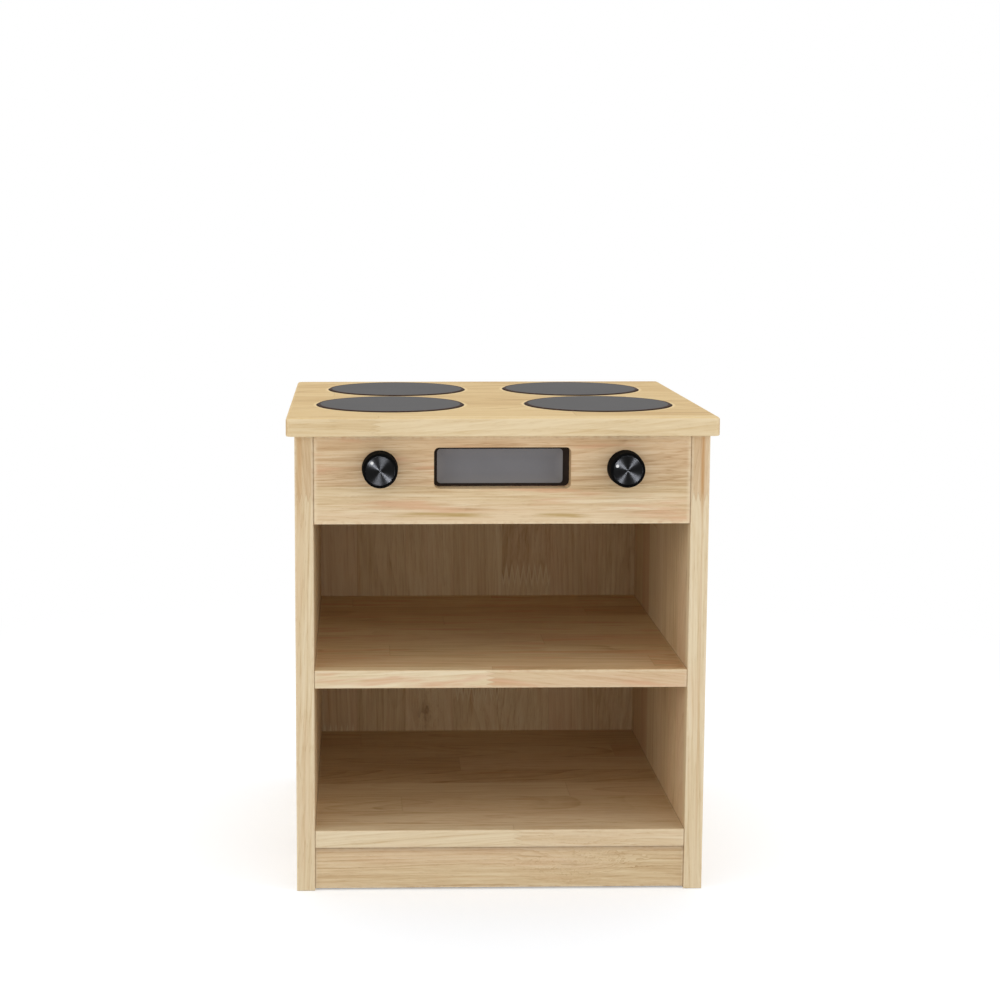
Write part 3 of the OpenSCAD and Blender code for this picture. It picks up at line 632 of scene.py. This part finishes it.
def plate_material(plate):
    """Sprayed grey board with a dark, slightly worn edge."""
    s = Shader("paint_" + plate)
    middle, radius = middle_and_radius(plate)
    x, y, _ = s.split(s.coords)
    out = s.radius(s.less(x, middle.x), s.less(y, middle.y))
    grainy = s.noise(s.coords, scale=900.0, detail=3.0, roughness=0.6)
    cloud = s.noise(s.coords, scale=14.0, detail=3.0, roughness=0.55)
    scuff = s.stretched(s.coords, (40.0, 260.0, 1.0), detail=3.0, roughness=0.6)
    scuff = s.span(scuff, 0.62, 0.74)
    level = s.weigh((grainy, 0.45), (cloud, 0.55))
    colour = s.between(level, 0.30, 0.70, PLATE_GREYS)
    colour = s.mix(s.product(scuff, 0.08), colour, PLATE_SCUFF)
    edge = s.span(s.less(out, radius), *PLATE_EDGE_STARTS)
    colour = s.mix(edge, colour, PLATE_EDGE)
    worn = s.product(edge, s.span(s.noise(s.coords, scale=220.0), 0.58, 0.70))
    colour = s.mix(s.product(worn, 0.35), colour, PLATE_EDGE_WORN)
    rough = s.weigh(0.66, (cloud, 0.12), (scuff, 0.10))
    height = s.weigh(grainy, (scuff, -0.3))
    return s.finish(Base_Color=colour, Roughness=rough, Normal=s.bump(height, 0.00006),
                    Specular_IOR_Level=0.08)


def panel_material():
    """Grey acrylic, polished, with a rim painted lighter against the shade near its edges, a faint
    haze and fine wiping marks.
    """
    s = Shader("acrylic_grey")
    haze = s.noise(s.coords, scale=18.0, detail=3.0, roughness=0.55)
    wipe = s.stretched(s.coords, (30.0, 1.0, 420.0), detail=3.0, roughness=0.6, distortion=0.4)
    speck = s.span(s.noise(s.coords, scale=1500.0, detail=1.0), 0.70, 0.80)
    colour = s.between(haze, 0.25, 0.75, ACRYLIC_GREYS)
    # Painted light: the rim is lightened against the shade near the panel's edges.
    rim = s.arris(s.split(s.coords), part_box("display_panel"), ACRYLIC_RIM_LIGHT_WIDTH)
    colour = s.mix(s.product(rim, 0.6), colour, ACRYLIC_RIM_LIGHT)
    colour = s.mix(s.product(speck, 0.10), colour, ACRYLIC_SPECK)
    rough = s.weigh(0.13, (haze, 0.08), (s.span(wipe, 0.55, 0.75), 0.10))
    return s.finish(Base_Color=colour, Roughness=rough, Normal=s.bump(wipe, 0.00001),
                    Specular_IOR_Level=0.3)


def plastic_material(name, colours, roughness, gloss):
    """Moulded plastic: a fine spark texture, faint flow marks and rubbed high spots."""
    s = Shader(name)
    spark = s.noise(s.coords, scale=1400.0, roughness=0.6)
    flow = s.noise(s.coords, scale=60.0, detail=3.0, roughness=0.55, distortion=0.8)
    level = s.weigh((spark, 0.4), (flow, 0.6))
    colour = s.between(level, 0.30, 0.72, colours)
    rubbed = s.span(s.noise(s.coords, scale=240.0), 0.56, 0.72)
    rough = s.weigh(roughness, (flow, 0.08), (rubbed, -0.05))
    return s.finish(Base_Color=colour, Roughness=rough, Normal=s.bump(spark, 0.00002),
                    Specular_IOR_Level=gloss)


def spun_material(name, inlay):
    """Dark spun metal: fine circular turning marks round the knob's axis."""
    s = Shader(name)
    middle, radius = middle_and_radius(inlay)
    x, _, z = s.split(s.coords)
    out = s.radius(s.less(x, middle.x), s.less(z, middle.z))
    turned = s.noise(s.join(s.product(out, 5200.0), 0.0, 0.0), roughness=0.6)
    coarse = s.noise(s.join(s.product(out, 900.0), 1.0, 0.0), detail=1.0)
    cloud = s.noise(s.coords, scale=150.0)
    level = s.weigh((turned, 0.5), (coarse, 0.35), (cloud, 0.15))
    colour = s.between(level, 0.30, 0.70, SPUN_GREYS)
    rim = s.span(s.less(out, radius), *SPUN_RIM_STARTS)
    colour = s.mix(rim, colour, SPUN_RIM)
    tangent = s.add("ShaderNodeTangent", direction_type="RADIAL", axis="Y").outputs[0]
    height = s.sum(turned, coarse)
    return s.finish(Base_Color=colour, Metallic=1.0, Roughness=s.weigh(0.46, (turned, 0.10)),
                    Anisotropic=1.0, Tangent=tangent, Normal=s.bump(height, 0.000012))


def metal_material(name, colours, roughness, brushed):
    """Plated or machined metal with tool marks, tarnish and handling wear."""
    s = Shader(name)
    marks = s.stretched(s.coords, brushed, detail=3.0, roughness=0.6)
    tarnish = s.noise(s.coords, scale=90.0, detail=3.0, roughness=0.6)
    level = s.weigh((marks, 0.4), (tarnish, 0.6))
    colour = s.between(level, 0.28, 0.72, colours)
    rough = s.weigh(roughness, (tarnish, 0.18), (marks, 0.08))
    return s.finish(Base_Color=colour, Metallic=1.0, Roughness=rough, Normal=s.bump(marks, 0.00002))


def enamel_material():
    """White index paint, slightly uneven."""
    s = Shader("enamel_white")
    patch = s.noise(s.coords, scale=700.0)
    colour = s.between(patch, 0.3, 0.7, ENAMEL_WHITES)
    return s.finish(Base_Color=colour, Roughness=s.weigh(0.34, (patch, 0.12)),
                    Normal=s.bump(patch, 0.00002), Specular_IOR_Level=0.5)


def dress_nodes():
    """Gives every CAD node its material."""
    for name, settings in WOODS.items():
        if name == "countertop":
            settings = dict(settings, plates=[middle_and_radius(plate) for plate in PLATES])
        dress(Wood("wood_" + name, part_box(name), **settings).build(), name)
    for plate in PLATES:
        dress(plate_material(plate), plate)
    dress(panel_material(), "display_panel")
    dress(plastic_material("plastic_backing", BACKING_BROWNS, 0.45, 0.15), "display_backing")
    dress(plastic_material("plastic_knob", KNOB_BLACKS, 0.42, 0.002),
          "left_knob_body", "right_knob_body")
    for side in ("left", "right"):
        dress(spun_material("spun_" + side, side + "_knob_inlay"), side + "_knob_inlay")
    dress(enamel_material(), "left_knob_mark", "right_knob_mark")
    dress(metal_material("zinc_steel", ZINC_GREYS, 0.28, (500.0, 500.0, 500.0)),
          "side_screws", "back_screws", "cleat_side_screws", "cleat_top_screws", "display_screws",
          "left_circlip", "right_circlip", "left_bush_washer", "right_bush_washer",
          "left_bush_nut", "right_bush_nut")
    dress(metal_material("spindle_steel", STEEL_GREYS, 0.22, (900.0, 60.0, 900.0)),
          "left_spindle", "right_spindle")
    dress(metal_material("brass_turned", BRASS_YELLOWS, 0.25, (900.0, 300.0, 900.0)),
          "left_bush", "right_bush")
    dress(Wood("beech_dowel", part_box("dowels"), **DOWELS).build(), "dowels")


def disc(name, radius, rings, sides):
    """A flat disc of concentric rings, with its centre on the floor's origin."""
    points, faces = [(0, 0, 0)], []
    for ring in range(1, rings + 1):
        r = radius * ring / rings
        for side in range(sides):
            a = 2 * math.pi * side / sides
            points.append((r * math.cos(a), r * math.sin(a), 0))
    for side in range(sides):
        after = (side + 1) % sides
        faces.append((0, 1 + side, 1 + after))
        for ring in range(1, rings):
            a, b = 1 + (ring - 1) * sides, 1 + ring * sides
            faces.append((a + side, b + side, b + after, a + after))
    mesh = bpy.data.meshes.new(name)
    mesh.from_pydata(points, [], faces)
    obj = bpy.data.objects.new(name, mesh)
    bpy.context.scene.collection.objects.link(obj)
    return obj


def floor_material():
    """Pale floor that keeps the shadow near the object and fades into the white background."""
    s = Shader("floor")
    x, y, _ = s.split(s.coords)
    seen = s.seen()
    diffuse = s.add("ShaderNodeBsdfDiffuse", linear(FLOOR_COLOUR)).outputs[0]
    glow = s.add("ShaderNodeEmission", FULL_WHITE, s.product(seen, FLOOR_LIFT)).outputs[0]
    near = s.add("ShaderNodeAddShader", diffuse, glow).outputs[0]
    white = s.add("ShaderNodeEmission", FULL_WHITE, 1.0).outputs[0]
    fade = s.product(s.span(s.radius(x, y), *FLOOR_FADE), seen)
    s.put(s.output, s.add("ShaderNodeMixShader", fade, near, white).outputs[0])
    return s.material


def lay_floor():
    floor = disc("floor", FLOOR_RADIUS, FLOOR_RINGS, FLOOR_SIDES)
    floor.data.materials.append(floor_material())


def light_surround():
    """An even surround that looks white and lights with less than that."""
    world = bpy.data.worlds.new("studio")
    bpy.context.scene.world = world
    world.use_nodes = True
    s = Nodes(world.node_tree)
    strength = s.span(s.seen(), 0.0, 1.0, AMBIENT, 1.0)
    sky = s.add("ShaderNodeBackground", FULL_WHITE, strength).outputs[0]
    s.add("ShaderNodeOutputWorld", sky)


def hang_lamps():
    """Hangs the LAMPS round their target; a glint lights only its own node."""
    glint_on = {}
    for start, name in GLINT_NODES.items():
        glint_on[start] = bpy.data.collections.new(start + "_on")
        glint_on[start].objects.link(nodes[name])
    for name, (azimuth, elevation, distance, size, power, colour) in LAMPS.items():
        data = bpy.data.lights.new(name, "AREA")
        data.shape = "RECTANGLE"
        data.size, data.size_y = size
        data.energy = power
        data.color = linear(colour)[:3]
        lamp = bpy.data.objects.new(name, data)
        for start, receivers in glint_on.items():
            if name.startswith(start):
                lamp.light_linking.receiver_collection = receivers
                lamp.visible_diffuse = False
        a, e = math.radians(azimuth), math.radians(elevation)
        out = Vector((math.sin(a) * math.cos(e), -math.cos(a) * math.cos(e), math.sin(e)))
        lamp.location = LAMP_TARGET + out * distance
        lamp.rotation_euler = (-out).to_track_quat("-Z", "Y").to_euler()
        bpy.context.scene.collection.objects.link(lamp)


def set_camera():
    data = bpy.data.cameras.new("camera")
    data.lens = CAMERA_LENS
    data.sensor_width = CAMERA_SENSOR
    data.shift_x, data.shift_y = CAMERA_SHIFT
    data.clip_start, data.clip_end = CAMERA_CLIP
    camera = bpy.data.objects.new("camera", data)
    camera.location = CAMERA_AT
    camera.rotation_euler = Euler(
        (math.radians(90 - CAMERA_PITCH), 0, math.radians(-CAMERA_YAW)))
    bpy.context.scene.collection.objects.link(camera)
    bpy.context.scene.camera = camera


dress_nodes()
lay_floor()
light_surround()
hang_lamps()
set_camera()
bpy.context.scene.view_settings.view_transform = "Standard"

bpy.context.view_layer.update()
